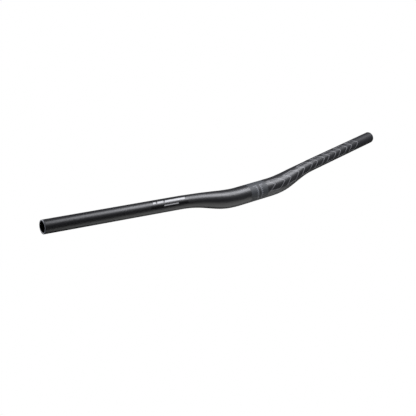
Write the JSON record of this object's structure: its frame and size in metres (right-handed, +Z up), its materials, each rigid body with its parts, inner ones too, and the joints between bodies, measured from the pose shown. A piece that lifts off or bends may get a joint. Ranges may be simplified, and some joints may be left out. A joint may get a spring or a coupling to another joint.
{
  "type": "riser handlebar",
  "caption": "Bicycle riser handlebar: a bent, tapered hollow tube, thick at the stem clamp, thinner at the swept-back open-ended grips, in satin black.",
  "frame": {"origin": "middle of the clamp zone, on its axis", "axes": "+X along the clamp axis to the rider's left, -Y forwards, +Y towards the rider, +Z up, with the rise straight up"},
  "size_m": [0.7998, 0.0678, 0.0648],
  "materials": {
    "black_anodised": "satin bead-blasted black anodising"
  },
  "bodies": {
    "root": {"handlebar": "black_anodised"}
  },
  "joints": []
}
